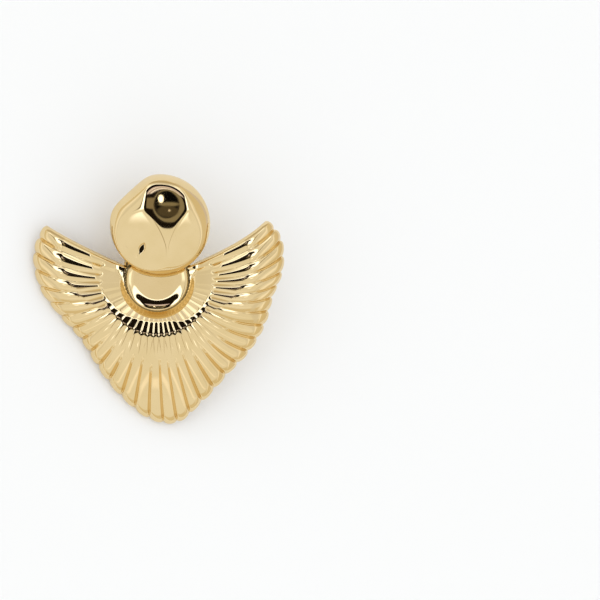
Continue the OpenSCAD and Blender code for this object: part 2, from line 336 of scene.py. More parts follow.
@dataclass(frozen=True)
class PlatedGold:
    """Bright gold plating on a casting.

    Attributes:
        name: name of the finish.
        colour: the plating's colour.
        deep: its colour where it was rubbed less and is a little warmer.
        tint_range: cloud values from which and up to which the one colour turns into the other.
        mottle_mm: size of the clouds between the two colours.
        polish: roughness where it is rubbed brightest.
        haze: roughness where it is least bright.
        gloss_range: cloud values from which and up to which the polish turns into the haze.
        ripple_mm: width of the casting's soft ripples.
        ripple_depth: depth of those ripples, in millimetres.
        grain_mm: width of the fine grain left by the polishing wheel.
        grain_depth: depth of that grain, in millimetres.
    """

    name: str
    colour: Colour = (0.81, 0.63, 0.34)
    deep: Colour = (0.775, 0.595, 0.305)
    tint_range: tuple[float, float] = (0.35, 0.65)
    mottle_mm: float = 5.0
    polish: float = 0.035
    haze: float = 0.1
    gloss_range: tuple[float, float] = (0.45, 0.75)
    ripple_mm: float = 2.5
    ripple_depth: float = 0.004
    grain_mm: float = 0.12
    grain_depth: float = 0.0004

    def make(self) -> bpy.types.Material:
        """Builds the node material.

        Returns:
            The material.
        """
        material = bpy.data.materials.new(self.name)
        material.use_nodes = True
        tree = material.node_tree
        tree.nodes.clear()
        out = tree.nodes.new("ShaderNodeOutputMaterial")
        metal = tree.nodes.new("ShaderNodeBsdfPrincipled")
        metal.inputs["Metallic"].default_value = 1.0
        tree.links.new(metal.outputs["BSDF"], out.inputs["Surface"])
        place = tree.nodes.new("ShaderNodeTexCoord").outputs["Object"]

        tint = tree.nodes.new("ShaderNodeValToRGB")
        shades = (self.deep, self.colour)
        for element, position, shade in zip(tint.color_ramp.elements, self.tint_range, shades):
            element.position = position
            element.color = (*shade, 1)
        clouds = self._noise(tree, place, self.mottle_mm, detail=3.0)
        tree.links.new(clouds, tint.inputs["Fac"])
        tree.links.new(tint.outputs["Color"], metal.inputs["Base Color"])

        rubbed = self._noise(tree, place, self.mottle_mm / 2, detail=5.0)
        gloss = map_range(tree, rubbed, *self.gloss_range)
        gloss.inputs["To Min"].default_value = self.polish
        gloss.inputs["To Max"].default_value = self.haze
        tree.links.new(gloss.outputs["Result"], metal.inputs["Roughness"])

        ripples = self._noise(tree, place, self.ripple_mm, detail=1.0)
        rippled = self._bump(tree, ripples, self.ripple_depth, None)
        grain = self._noise(tree, place, self.grain_mm, detail=2.0)
        grained = self._bump(tree, grain, self.grain_depth, rippled)
        tree.links.new(grained, metal.inputs["Normal"])
        return material

    @staticmethod
    def _noise(tree: Tree, place: Socket, size_mm: float, detail: float) -> Socket:
        """Adds a cloudy noise.

        Args:
            tree: the material's nodes.
            place: the coordinates that it follows.
            size_mm: size of its features, in millimetres.
            detail: how many finer noises lie on it.

        Returns:
            Its value.
        """
        noise = tree.nodes.new("ShaderNodeTexNoise")
        noise.inputs["Scale"].default_value = 1 / (size_mm * MM)
        noise.inputs["Detail"].default_value = detail
        tree.links.new(place, noise.inputs["Vector"])
        return noise.outputs["Fac"]

    @staticmethod
    def _bump(tree: Tree, height: Socket, depth_mm: float, below: Socket | None) -> Socket:
        """Adds a fine relief.

        Args:
            tree: the material's nodes.
            height: the relief's height, from 0 to 1.
            depth_mm: its depth in millimetres.
            below: the relief that it lies over, if there is one.

        Returns:
            The surface's direction.
        """
        bump = tree.nodes.new("ShaderNodeBump")
        bump.inputs["Strength"].default_value = 1.0
        bump.inputs["Distance"].default_value = depth_mm * MM
        tree.links.new(height, bump.inputs["Height"])
        if below:
            tree.links.new(below, bump.inputs["Normal"])
        return bump.outputs["Normal"]


# The earring's sub-assemblies


@dataclass
class Piece:
    """What every piece has.

    Attributes:
        face: where the earring's face lies.
        finish: the plating.
        edge_angle: angle, in degrees, past which an edge stays sharp.
    """

    face: FaceFrame
    finish: PlatedGold
    edge_angle: float = 50.0

    def dress(self, obj: bpy.types.Object) -> None:
        """Shades a modelled piece smooth, lays it in its place and plates it.

        Args:
            obj: the piece, as it was made on the face.
        """
        pick(obj)
        bpy.ops.object.shade_smooth_by_angle(angle=math.radians(self.edge_angle))
        self.face.lay(obj)
        obj.data.materials.append(self.finish.make())


class Section(NamedTuple):
    """One section of the fan, at every second valley between ribs.

    root and tip are the valley's angle in degrees at the groove and at the rim. reach and crest are
    the distances from the button's centre to the rim and to the ribs' highest line, and height is
    the height of that line. step is where the slope up from the groove ends, and edge is where the
    flatter ring round it meets the ribs. bow is the radius that the ribs bow outwards with past the
    crest, and fall is the slope, in degrees, that they fall away at towards the rim. relief is how
    round the ribs are past the ring, compared with those of the wings, and root_crown is how round
    they are near the groove.
    """

    root: float
    tip: float
    reach: float
    step: float
    edge: float
    crest: float
    height: float
    bow: float
    fall: float
    relief: float
    root_crown: float


@dataclass
class Fan(Piece):
    """The ribbed fan with its two wings, its groove, its hollow back and the neck behind the head.

    Places round the fan are counted in ribs from the left wing's top edge, and places across a rib
    go from -1 to 1. Lengths are in millimetres, and slopes are rises over runs.

    Attributes:
        groove_r: radius of the groove's foot, round the button.
        shoulder_r: distance from the button's centre to the top of the groove's wall.
        wall_power: how steep the wall's foot is against its round top, as a power.
        step_slope: slope from the wall up to the ring.
        step_depth: the most that a rib's back comes down towards the groove.
        ring_slope: slope of the flatter ring.
        step_soft: length that rounds the turns at both ends of the ring.
        inner_slope: slope of the ribs' backs between the ring and their crest.
        crest_fall: slope of the ribs' backs just past their crest.
        crest_soft: length that rounds the turn at the crest.
        sweep_power: how late a rib's line turns from its root's angle to its tip's, as a power.
        shell_t: the shell's thickness.
        roll_w: width of the rim's roll.
        roll_d: depth of the rim's roll.
        notch: depth of the rim's notch at a valley.
        notch_power: how narrow that notch is, as a power.
        rim_lip: width of the rim's round lip.
        edge_roll: how far the wings' top edges roll down.
        edge_power: how late they do, as a power.
        step_crown: how round a wing's ribs are past the ring, as a share of their width.
        rim_crown: how round all ribs are near the rim, as a share of their width.
        valley_edge: place across a rib where its valley begins.
        valley_floor: share of the valley's side after which it levels out.
        valley: the valleys' extra depth, as a share of a rib's width.
        unevenness: how far a valley's start may lie from where it would be.
        uneven_turn: how far the wave that moves the starts turns from rib to rib, in radians.
        uneven_from: where that wave begins, in radians.
        relief_from: distance at which the ribs begin to be as round as past the ring.
        relief_full: distance at which they are.
        relief_rim: distance from which they are as round as near the rim.
        valley_start: least distance at which a valley may begin.
        valley_crest: share of the crest's distance that is added to it.
        valley_run: length over which a valley reaches its depth.
        neck_reach: the neck's reach in its middle.
        neck_root: the neck's reach where it meets the wings.
        neck_bevel: height of the bevel round the neck.
        neck_columns: number of faces along the neck.
        neck_seat: shares of the way out from the groove between which the neck is flat on top.
        seat_z: height of the head's seat on the neck.
        core_sides: number of sides of the groove's floor.
        core_over: how far the floor's disc reaches into the shell.
        core_inset: bevel of its lower edge.
        core_thinner: how much thinner it is than the shell.
        core_sink: how far its edge lies under its middle.
        core_middle_r: radius of its level middle.
        ribs_per_section: number of ribs from one section to the next.
        columns: places of the mesh's columns across half a rib, closer together in the valley.
        sections: the sections, from the left wing round the tail to the right wing.
        wall_rings: number of rings of points in the groove's wall.
        inner_rings: number of rings from there to the ring's edge.
        crest_rings: number of rings between the ring's edge and the crest.
        outer_rings: number of faces from the crest to the roll.
        ridge_places: places of the rings close to the ring's edge and to the crest.
        crest_gap: least distance between the ring's edge and the rings of the crest.
        roll_rings: number of rings in the roll.
        lip_rings: number of rings in the lip.
        back_rings: number of rings in the hollow back.
        back_start: share of the way out at which the hollow back begins.
    """

    groove_r: float = 5.75
    shoulder_r: float = 6.9
    wall_power: float = 1.8
    step_slope: float = 0.36
    step_depth: float = 1.2
    ring_slope: float = 0.16
    step_soft: float = 0.055
    inner_slope: float = 0.11
    crest_fall: float = 0.09
    crest_soft: float = 0.1
    sweep_power: float = 2.8
    shell_t: float = 1.25
    roll_w: float = 1.5
    roll_d: float = 1.1
    notch: float = 0.42
    notch_power: float = 2.5
    rim_lip: float = 0.44
    edge_roll: float = 1.0
    edge_power: float = 3.0
    step_crown: float = 0.2
    rim_crown: float = 0.09
    valley_edge: float = 0.73
    valley_floor: float = 0.62
    valley: float = 0.1
    unevenness: float = 0.7
    uneven_turn: float = 2.3
    uneven_from: float = 1.0
    relief_from: float = 9.95
    relief_full: float = 10.35
    relief_rim: float = 16.0
    valley_start: float = 9.2
    valley_crest: float = 0.5
    valley_run: float = 2.2
    neck_reach: float = 9.2
    neck_root: float = 6.5
    neck_bevel: float = 0.8
    neck_columns: int = 48
    neck_seat: tuple[float, float] = (0.42, 0.6)
    seat_z: float = 1.5
    core_sides: int = 128
    core_over: float = 0.25
    core_inset: float = 0.12
    core_thinner: float = 0.02
    core_sink: float = 0.002
    core_middle_r: float = 0.5
    ribs_per_section: int = 2
    columns: tuple[float, ...] = (
        0, 0.12, 0.24, 0.36, 0.48, 0.59, 0.67, 0.72, 0.745, 0.79, 0.85, 0.925)
    sections: tuple[Section, ...] = (
        Section(155.5, 153.5, 22.55, 13.2, 13.2, 18.4, 2.55, 10, 24, 1, 0.03),
        Section(174.5, 166.7, 22.85, 11.3, 11.3, 16.9, 2.45, 12, 24, 1, 0.03),
        Section(190, 182.5, 21.4, 10.3, 10.5, 14.6, 2.12, 15, 24, 1, 0.03),
        Section(205.2, 200.2, 18.8, 9.3, 10.1, 11.8, 1.68, 14.5, 24, 0.9, 0.03),
        Section(221.2, 217.7, 17.55, 8.7, 9.8, 9.8, 1.43, 15, 23, 0.5, 0.032),
        Section(237.2, 235.2, 19, 8, 9.8, 9.8, 1.43, 20, 24, 0.25, 0.038),
        Section(252.7, 252.7, 22.1, 7.6, 9.8, 9.8, 1.43, 22, 25, 0.12, 0.048),
        Section(265.8, 266.7, 25.2, 7.5, 9.8, 9.8, 1.43, 22, 26, 0.12, 0.05),
        Section(277.4, 278, 26.1, 7.5, 9.8, 9.8, 1.43, 22, 26, 0.12, 0.05),
        Section(289, 290.2, 23.6, 7.7, 9.8, 9.8, 1.43, 22, 25, 0.12, 0.048),
        Section(302.6, 306.2, 21.4, 8.6, 9.85, 9.85, 1.43, 18, 24, 0.25, 0.038),
        Section(315.5, 322.5, 21.15, 9, 9.95, 9.95, 1.44, 14, 23, 0.55, 0.036),
        Section(329.5, 337.7, 21.15, 9.35, 10.1, 11.2, 1.61, 15.5, 23, 0.9, 0.034),
        Section(342.2, 352, 21.2, 9.7, 10.5, 13.6, 1.96, 14.5, 24, 1, 0.03),
        Section(355.2, 364.2, 22.75, 10.4, 10.8, 15.2, 2.25, 14, 24, 1, 0.03),
        Section(367.5, 378.5, 23.7, 11.2, 11.4, 16.8, 2.48, 11, 24, 1, 0.03),
        Section(384.5, 389, 22.65, 13.2, 13.2, 17.3, 2.55, 10, 24, 1, 0.03),
    )
    wall_rings: int = 14
    inner_rings: int = 16
    crest_rings: int = 8
    outer_rings: int = 20
    ridge_places: tuple[float, ...] = (-0.16, -0.08, 0, 0.08, 0.16)
    crest_gap: float = 0.5
    roll_rings: int = 12
    lip_rings: int = 8
    back_rings: int = 18
    back_start: float = 0.97

    @property
    def ribs(self) -> int:
        """Number of ribs."""
        return (len(self.sections) - 1) * self.ribs_per_section

    def at(self, rib: np.ndarray, what: str) -> np.ndarray:
        """Reads a section's value at places round the fan.

        Args:
            rib: places round the fan.
            what: name of the section's value.

        Returns:
            The values, on a smooth curve through the sections.
        """
        known = np.array([getattr(section, what) for section in self.sections])
        known = np.concatenate([[2 * known[0] - known[1]], known, [2 * known[-1] - known[-2]]])
        place = np.asarray(rib, float) / self.ribs_per_section
        i = np.clip(np.floor(place).astype(int), 0, len(self.sections) - 2)
        t = place - i
        a, b, c, d = (known[i + k] for k in range(4))
        bend = 2 * a - 5 * b + 4 * c - d + t * (3 * b - 3 * c + d - a)
        return b + t * (c - a + t * bend) / 2

    def bowed(self, rib: np.ndarray, r: np.ndarray) -> np.ndarray:
        """Gives how far a rib's back has come down from its crest, on either side of it.

        Args:
            rib: places round the fan.
            r: distances from the button's centre.

        Returns:
            The drops.
        """
        past = r - self.at(rib, "crest")
        inner = self.inner_slope * ramp(-past, self.crest_soft)
        outer = self.crest_fall * ramp(past, self.crest_soft)
        fall = np.tan(np.radians(self.at(rib, "fall"))) - self.crest_fall
        b = self.at(rib, "bow") * fall
        return inner + outer + b * fall * (np.sqrt(1 + (np.clip(past, 0, None) / b) ** 2) - 1)

    def step(self, rib: np.ndarray, r: np.ndarray) -> np.ndarray:
        """Gives how much further a rib's back comes down on the ring and the slope to the groove.

        Args:
            rib: places round the fan.
            r: distances from the button's centre.

        Returns:
            The drops.
        """
        before_step = ramp(self.at(rib, "step") - r, self.step_soft)
        before_edge = ramp(self.at(rib, "edge") - r, self.step_soft)
        ring = (self.ring_slope - self.inner_slope) * before_edge
        left = self.step_depth - ring - (self.step_slope - self.ring_slope) * before_step
        return self.step_depth - ramp(left, self.step_soft)

    def wall(self, r: np.ndarray) -> np.ndarray:
        """Gives how far up the groove's wall a place is, from 0 to 1."""
        down = np.clip((self.shoulder_r - r) / (self.shoulder_r - self.groove_r), 0, 1)
        return 1 - down ** self.wall_power

    def level(self, rib: np.ndarray, r: np.ndarray) -> np.ndarray:
        """Gives the height of the ribs' backs."""
        return (self.at(rib, "height") - self.bowed(rib, r) - self.step(rib, r)) * self.wall(r)

    def heading(self, rib: np.ndarray, r: np.ndarray) -> np.ndarray:
        """Gives the angle, in degrees, of a rib's line at a distance from the button's centre."""
        t = np.clip((r - self.groove_r) / (self.at(rib, "reach") - self.groove_r), 0, None)
        return mix(self.at(rib, "root"), self.at(rib, "tip"), t ** self.sweep_power)

    def width(self, rib: np.ndarray, r: np.ndarray) -> np.ndarray:
        """Gives the width of a rib at a distance from the button's centre."""
        return r * np.radians(self.heading(rib + 0.5, r) - self.heading(rib - 0.5, r))

    def relief(self, rib: np.ndarray, u: np.ndarray, r: np.ndarray) -> np.ndarray:
        """Gives how far the surface lies below the rib's back.

        Args:
            rib: places round the fan.
            u: places across the rib.
            r: distances from the button's centre.

        Returns:
            The depths.
        """
        grown = np.clip((r - self.relief_from) / (self.relief_full - self.relief_from), 0, 1)
        out = np.clip((r - self.relief_full) / (self.relief_rim - self.relief_full), 0, 1)
        outer = mix(self.at(rib, "relief") * self.step_crown, self.rim_crown, out)
        crown = mix(self.at(rib, "root_crown"), outer, ease(grown))
        down = np.clip((np.abs(u) - self.valley_edge) / (1 - self.valley_edge), 0, 1)
        flat = np.clip(down - self.valley_floor, 0, 1) ** 2 / (2 * (1 - self.valley_floor))
        wave = np.sin(self.uneven_turn * np.rint(rib) + self.uneven_from)
        opening = self.valley_start + self.valley_crest * self.at(rib, "crest")
        opened = np.clip((r - opening - self.unevenness * wave) / self.valley_run, 0, 1)
        depth = (crown * u ** 2 + self.valley * ease(opened) * (down - flat)) * self.width(rib, r)
        outermost = (rib < 0.5) | (rib > self.ribs - 0.5)
        edge = self.edge_roll * np.abs(u) ** self.edge_power
        return np.sqrt(self.wall(r)) * np.where(outermost, edge, depth)

    def lobe(self, rib: np.ndarray, u: np.ndarray) -> np.ndarray:
        """Gives the rim's distance from the button's centre, with a notch at each valley."""
        return self.at(rib, "reach") - self.notch * np.abs(u) ** self.notch_power

    def spot(self, rib: np.ndarray, r: np.ndarray, z: np.ndarray) -> np.ndarray:
        """Gives points by their rib's line, their distance from the button's centre and height."""
        a = np.radians(self.heading(rib, r))
        return np.stack([r * np.cos(a), r * np.sin(a), z], axis=-1)

    def across(self) -> tuple[np.ndarray, np.ndarray]:
        """Spreads the columns round the fan.

        Returns:
            Each column's place round the fan and its place across its rib.
        """
        half = np.array(self.columns)
        u = np.concatenate([[-1], -half[:0:-1], half])
        rib = np.concatenate([(k + (u + 1) / 2) for k in range(self.ribs)] + [[self.ribs]])
        return rib, np.concatenate([np.tile(u, self.ribs), [1.0]])

    def places_along(self, rib: np.ndarray, end: np.ndarray) -> list[np.ndarray]:
        """Spreads the rings from the shoulder to the rim's roll, closer where slopes change.

        Args:
            rib: each column's place round the fan.
            end: each column's distance to the start of the roll.

        Returns:
            One array of distances for each ring.
        """
        edge = self.at(rib, "edge")
        crest = np.maximum(self.at(rib, "crest"), edge + self.crest_gap)
        first, last = self.ridge_places[0], self.ridge_places[-1]
        shares = np.linspace(0, 1, self.inner_rings, endpoint=False)
        places = [mix(self.shoulder_r, edge + first, t) for t in shares]
        places += [edge + place for place in self.ridge_places]
        shares = np.linspace(0, 1, self.crest_rings + 2)[1:-1]
        places += [mix(edge + last, crest + first, t) for t in shares]
        places += [crest + place for place in self.ridge_places]
        shares = np.linspace(0, 1, self.outer_rings + 1)[1:-1]
        places += [mix(crest + last, end, t) for t in shares]
        return places

    def ring_points(self, rib: np.ndarray, u: np.ndarray) -> list[np.ndarray]:
        """Works the rings out, from the groove's foot over the rim and back under the hollow.

        Args:
            rib: each column's place round the fan.
            u: each column's place across its rib.

        Returns:
            The points of each ring, one row for each column.
        """
        lobe = self.lobe(rib, u)
        shares = np.linspace(0, 1, self.wall_rings, endpoint=False)
        places = [np.full_like(rib, mix(self.groove_r, self.shoulder_r, t)) for t in shares]
        rings = []
        for r in places + self.places_along(rib, lobe - self.roll_w):
            rings.append(self.spot(rib, r, self.level(rib, r) - self.relief(rib, u, r)))
        for a in np.linspace(0, math.pi / 2, self.roll_rings, endpoint=False):
            r = lobe - self.roll_w * (1 - math.sin(a))
            z = self.level(rib, r) - self.relief(rib, u, r) - self.roll_d * (1 - math.cos(a))
            rings.append(self.spot(rib, r, z))
        rim_z = self.level(rib, lobe) - self.relief(rib, u, lobe) - self.roll_d
        for a in np.linspace(0, math.pi, self.lip_rings):
            r = lobe - self.rim_lip / 2 * (1 - math.cos(a))
            rings.append(self.spot(rib, r, rim_z - self.rim_lip * math.sin(a)))
        inner = self.at(rib, "reach") - self.roll_w / 2
        for t in np.linspace(self.back_start, 0, self.back_rings):
            r = mix(self.shoulder_r, inner, t)
            rings.append(self.spot(rib, r, self.level(rib, r) - self.shell_t))
        foot = np.full_like(rib, self.groove_r)
        rings.append(self.spot(rib, foot, np.full_like(rib, -self.shell_t)))
        return rings

    def shell(self) -> bpy.types.Object:
        """Shapes a sheet into the ribs, the rolled rim and the hollow back, and closes it.

        Returns:
            The shell, whose inner wall the core fills.
        """
        rib, u = self.across()
        grid = np.array(self.ring_points(rib, u))
        obj, column, ring = new_sheet("fan_ribs", len(rib) - 1, len(grid) - 1)
        put_points(obj, grid[ring.astype(int), column.astype(int)])
        close_round(obj, column, ring)
        return obj

    def neck_outline(self) -> np.ndarray:
        """Draws the neck's outer edge, seen from the front.

        Returns:
            Its points, one row each, from the right wing to the left one.
        """
        t = np.linspace(0, 1, self.neck_columns + 1)
        a = np.radians(mix(self.sections[-1].root, self.sections[0].root + 360, t))
        r = mix(self.neck_root, self.neck_reach, np.sin(math.pi * t))
        return np.stack([r * np.cos(a), r * np.sin(a)], axis=-1)

    def neck(self) -> bpy.types.Object:
        """Shapes the neck block between the wings' roots, up to the head's seat.

        Returns:
            The closed block.
        """
        outline = self.neck_outline()
        foot = outline * (self.groove_r / np.hypot(*outline.T))[:, None]
        seat_from, seat_to = (mix(foot, outline, share) for share in self.neck_seat)
        levels = [
            (foot, -self.shell_t),
            (foot, 0.0),
            (seat_from, self.seat_z),
            (seat_to, self.seat_z),
            (outline, self.seat_z - self.neck_bevel),
            (outline, -self.shell_t),
        ]
        grid = np.array([np.column_stack([xy, np.full(len(xy), z)]) for xy, z in levels])
        obj, column, ring = new_sheet("fan_neck", len(outline) - 1, len(levels) - 1)
        put_points(obj, grid[ring.astype(int), column.astype(int)])
        close_round(obj, column, ring)
        return obj

    def core(self) -> bpy.types.Object:
        """Turns the disc that is the groove's floor.

        Returns:
            The closed disc.
        """
        r = self.groove_r + self.core_over
        bottom = self.core_thinner - self.shell_t
        profile = [
            (r - self.core_inset, bottom),
            (r, bottom + self.core_inset),
            (r, -self.core_sink),
            (self.core_middle_r, 0.0),
        ]
        return turned("fan_core", profile, self.core_sides)

    def build(self) -> bpy.types.Object:
        """Builds, joins, dresses and lays the fan.

        Returns:
            The finished piece.
        """
        shell = self.shell()
        core = self.core()
        neck = self.neck()
        pick(shell)
        for part in (core, neck):
            part.select_set(True)
        bpy.ops.object.join()
        shell.name = shell.data.name = "fan_shell"
        self.dress(shell)
        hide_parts("fan")
        return shell


def disc_grid(name: str, faces: int,
              crowd: float) -> tuple[bpy.types.Object, np.ndarray, np.ndarray]:
    """Adds a grid and wraps it to a round disc, with no pole in its middle.

    Args:
        name: name of the piece.
        faces: number of faces from side to side.
        crowd: how much closer the rings lie towards the edge, from 0 to 1.

    Returns:
        The object, and each point's angle and its share of the radius.
    """
    obj, column, row = new_sheet(name, faces, faces)
    x = column / faces * 2 - 1
    y = row / faces * 2 - 1
    # A square is wrapped to a circle without creases: each side bulges to its arc
    disc_x = x * np.sqrt(1 - y * y / 2)
    disc_y = y * np.sqrt(1 - x * x / 2)
    share = np.clip(np.hypot(disc_x, disc_y), 0, 1)
    share = mix(share, np.sin(share * math.pi / 2), crowd)
    return obj, np.arctan2(disc_y, disc_x), np.where(share > EDGE_SHARE, 1.0, share)


def close_underneath(obj: bpy.types.Object, edge: np.ndarray, centre: tuple[float, float],
                     steps: tuple[tuple[float, float], ...]) -> None:
    """Extrudes a disc's edge down and inwards in steps, and fills the last ring.

    Args:
        obj: the shaped disc.
        edge: which points lie on its edge.
        centre: middle of the piece on the face.
        steps: the move down in millimetres of each step, and the share that its ring is scaled to.
    """
    select_loops(obj, edge)
    for down, share in steps:
        bpy.ops.mesh.extrude_region_move(TRANSFORM_OT_translate={"value": (0, 0, -down)})
        bpy.ops.transform.resize(value=(share, share, 1), center_override=(*centre, 0))
    bpy.ops.mesh.edge_face_add()
    bpy.ops.object.mode_set(mode="OBJECT")
    close_normals(obj)


class Facet(NamedTuple):
    """One hammered facet of the head.

    falls is the direction that it falls in, in degrees, start is how far from the head's centre it
    starts, in millimetres, slope is its slope in degrees, and bulge is the radius that it bulges
    with about its spot. A facet with a length is a flute: it is straight along that direction, in
    degrees, and bulges across it.
    """

    falls: float
    start: float
    slope: float
    bulge: float
    spot: tuple[float, float] = (1.25, 4.2)
    length: float | None = None

    def level(self, x: np.ndarray, y: np.ndarray) -> np.ndarray:
        """Gives the facet's height over the head's level facet.

        Args:
            x: places to the right of the head's centre.
            y: places above the head's centre.

        Returns:
            The heights, below 0 where the facet has fallen away.
        """
        falls = math.radians(self.falls)
        slope = math.tan(math.radians(self.slope))
        spot_x, spot_y = self.spot
        far = (x - spot_x) ** 2 + (y - spot_y) ** 2
        if self.length is not None:
            length = math.radians(self.length)
            far = ((y - spot_y) * math.cos(length) - (x - spot_x) * math.sin(length)) ** 2
        crown = far / (2 * self.bulge)
        return -slope * (x * math.cos(falls) + y * math.sin(falls) - self.start) - crown


class Crease(NamedTuple):
    """A shallow dint of the hammer: a line on the head with a width and a depth, in millimetres."""

    line: tuple[tuple[float, float], ...]
    width: float
    depth: float

    def cut(self, x: np.ndarray, y: np.ndarray) -> np.ndarray:
        """Gives how deep the dint goes.

        Args:
            x: places to the right of the head's centre.
            y: places above the head's centre.

        Returns:
            The depths.
        """
        nearest = np.full_like(x, np.inf)
        for (x0, y0), (x1, y1) in zip(self.line, self.line[1:]):
            long_x, long_y = x1 - x0, y1 - y0
            along = (x - x0) * long_x + (y - y0) * long_y
            t = np.clip(along / (long_x ** 2 + long_y ** 2), 0, 1)
            nearest = np.minimum(nearest, np.hypot(x - x0 - t * long_x, y - y0 - t * long_y))
        return self.depth * (1 - ease(np.minimum(nearest / self.width, 1)))


class Nick(NamedTuple):
    """A leaf-shaped nick in the head, with a flat floor.

    x and y are its middle, length and width are half its sizes, and lie is its direction in
    degrees. Its floor sinks under the facet by a slope, in the direction sinks, and soft is the
    width of its side.
    """

    x: float
    y: float
    length: float
    width: float
    lie: float
    slope: float
    sinks: float
    soft: float = 0.14

    def cut(self, x: np.ndarray, y: np.ndarray) -> np.ndarray:
        """Gives how deep the nick goes.

        Args:
            x: places to the right of the head's centre.
            y: places above the head's centre.

        Returns:
            The depths.
        """
        lie = math.radians(self.lie)
        along = (x - self.x) * math.cos(lie) + (y - self.y) * math.sin(lie)
        across = (y - self.y) * math.cos(lie) - (x - self.x) * math.sin(lie)
        half = self.width * (1 - (along / self.length) ** 2)
        inside = np.clip((half - np.abs(across)) / self.soft, 0, 1)
        sinks = math.radians(self.sinks)
        down = (x - self.x) * math.cos(sinks) + (y - self.y) * math.sin(sinks) + self.length
        return self.slope * np.clip(down, 0, None) * ease(inside)


@dataclass
class StudHead(Piece):
    """The hammered nugget with soft facets, a round side and a flat back.

    Lengths are in millimetres, and heights are over its flat back.

    Attributes:
        radius: its radius.
        thickness: height of its level facet.
        waist: height of its widest line.
        centre: its middle on the face.
        seat_z: height of its back on the face.
        flat: distance from its centre to the flat on its side.
        flat_dir: direction of that flat, in degrees.
        flat_facing: cosine of the angle from that direction past which the side is round.
        flat_soft: length that rounds the flat's ends.
        facet_soft: length that rounds the edges between facets.
        edge_soft: length that rounds the edge of facets and side at the head's foot.
        shoulder_soft: the same at its top.
        side_rise: steepness of the round side, at the head's foot and sides.
        top_rise: the same at its top.
        side_power: how round the side is, as a power.
        faces: number of faces from side to side.
        crowd: how much closer they lie towards the edge, from 0 to 1.
        facets: the facets.
        cuts: the dint and the nick in them.
        back_steps: moves down and scales of the rings from the widest line to the back.
    """

    edge_angle: float = 60.0
    radius: float = 8.985
    thickness: float = 4.18
    waist: float = 0.9
    centre: tuple[float, float] = (0.5, 10.0)
    seat_z: float = 1.55
    flat: float = 8.08
    flat_dir: float = 133.0
    flat_facing: float = 0.5
    flat_soft: float = 0.4
    facet_soft: float = 0.035
    edge_soft: float = 0.05
    shoulder_soft: float = 0.35
    side_rise: float = 1.45
    top_rise: float = 2.6
    side_power: float = 0.72
    faces: int = 260
    crowd: float = 0.8
    facets: tuple[Facet, ...] = (
        Facet(0, 0, 0, 46),
        Facet(222, 0.03, 12.5, 100),
        Facet(322.5, 2.15, 15, 100),
        Facet(168, 3.25, 19, 25, (-5.4, 3.65), 43),
        Facet(8, 5.0, 20, 40, (6.75, 3.5), -58),
        Facet(88, 7.16, 16, 60),
    )
    cuts: tuple[Crease | Nick, ...] = (
        Crease(((-6.3, -4.0), (-5.8, -4.6), (-5.25, -5.1), (-4.7, -5.45), (-4.2, -5.65)), 0.4, 0.04),
        Nick(-3.24, -4.43, 1.2, 0.62, 67.5, 0.205, 59),
    )
    back_steps: tuple[tuple[float, float], ...] = (
        (0.2, 0.999), (0.2, 0.996), (0.2, 0.99), (0.15, 0.985), (0.1, 0.98), (0.05, 0.97))

    def outline(self, angle: np.ndarray) -> np.ndarray:
        """Gives the head's radius, with the flat on its upper left.

        Args:
            angle: directions from its centre, in radians.

        Returns:
            The radius in each direction.
        """
        facing = np.cos(angle - math.radians(self.flat_dir))
        flat = self.flat / np.maximum(facing, self.flat_facing)
        both = soft_min([np.full_like(flat, self.radius), flat], self.flat_soft)
        return np.where(facing > self.flat_facing, both, self.radius)

    def top(self, angle: np.ndarray, r: np.ndarray) -> np.ndarray:
        """Gives the height of the head's front.

        Args:
            angle: directions from its centre, in radians.
            r: distances from its centre.

        Returns:
            The heights.
        """
        x = r * np.cos(angle)
        y = r * np.sin(angle)
        levels = [self.thickness + facet.level(x, y) for facet in self.facets]
        front = soft_min(levels, self.facet_soft) - sum(cut.cut(x, y) for cut in self.cuts)
        inside = np.maximum(self.outline(angle) - r, 0)
        above = np.maximum(np.sin(angle), 0) ** 2
        side = self.waist + mix(self.side_rise, self.top_rise, above) * inside ** self.side_power
        soft = mix(self.edge_soft, self.shoulder_soft, (1 + np.sin(angle)) / 2)
        return np.maximum(self.waist, soft_min([front, side], soft))

    def build(self) -> bpy.types.Object:
        """Builds, dresses and lays the head.

        Returns:
            The finished piece.
        """
        obj, angle, share = disc_grid("stud_head_nugget", self.faces, self.crowd)
        r = share * self.outline(angle)
        x = self.centre[0] + r * np.cos(angle)
        y = self.centre[1] + r * np.sin(angle)
        z = self.seat_z + np.where(share == 1, self.waist, self.top(angle, r))
        put_points(obj, np.stack([x, y, z], axis=-1))
        close_underneath(obj, share == 1, self.centre, self.back_steps)
        self.dress(obj)
        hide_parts("stud_head")
        return obj


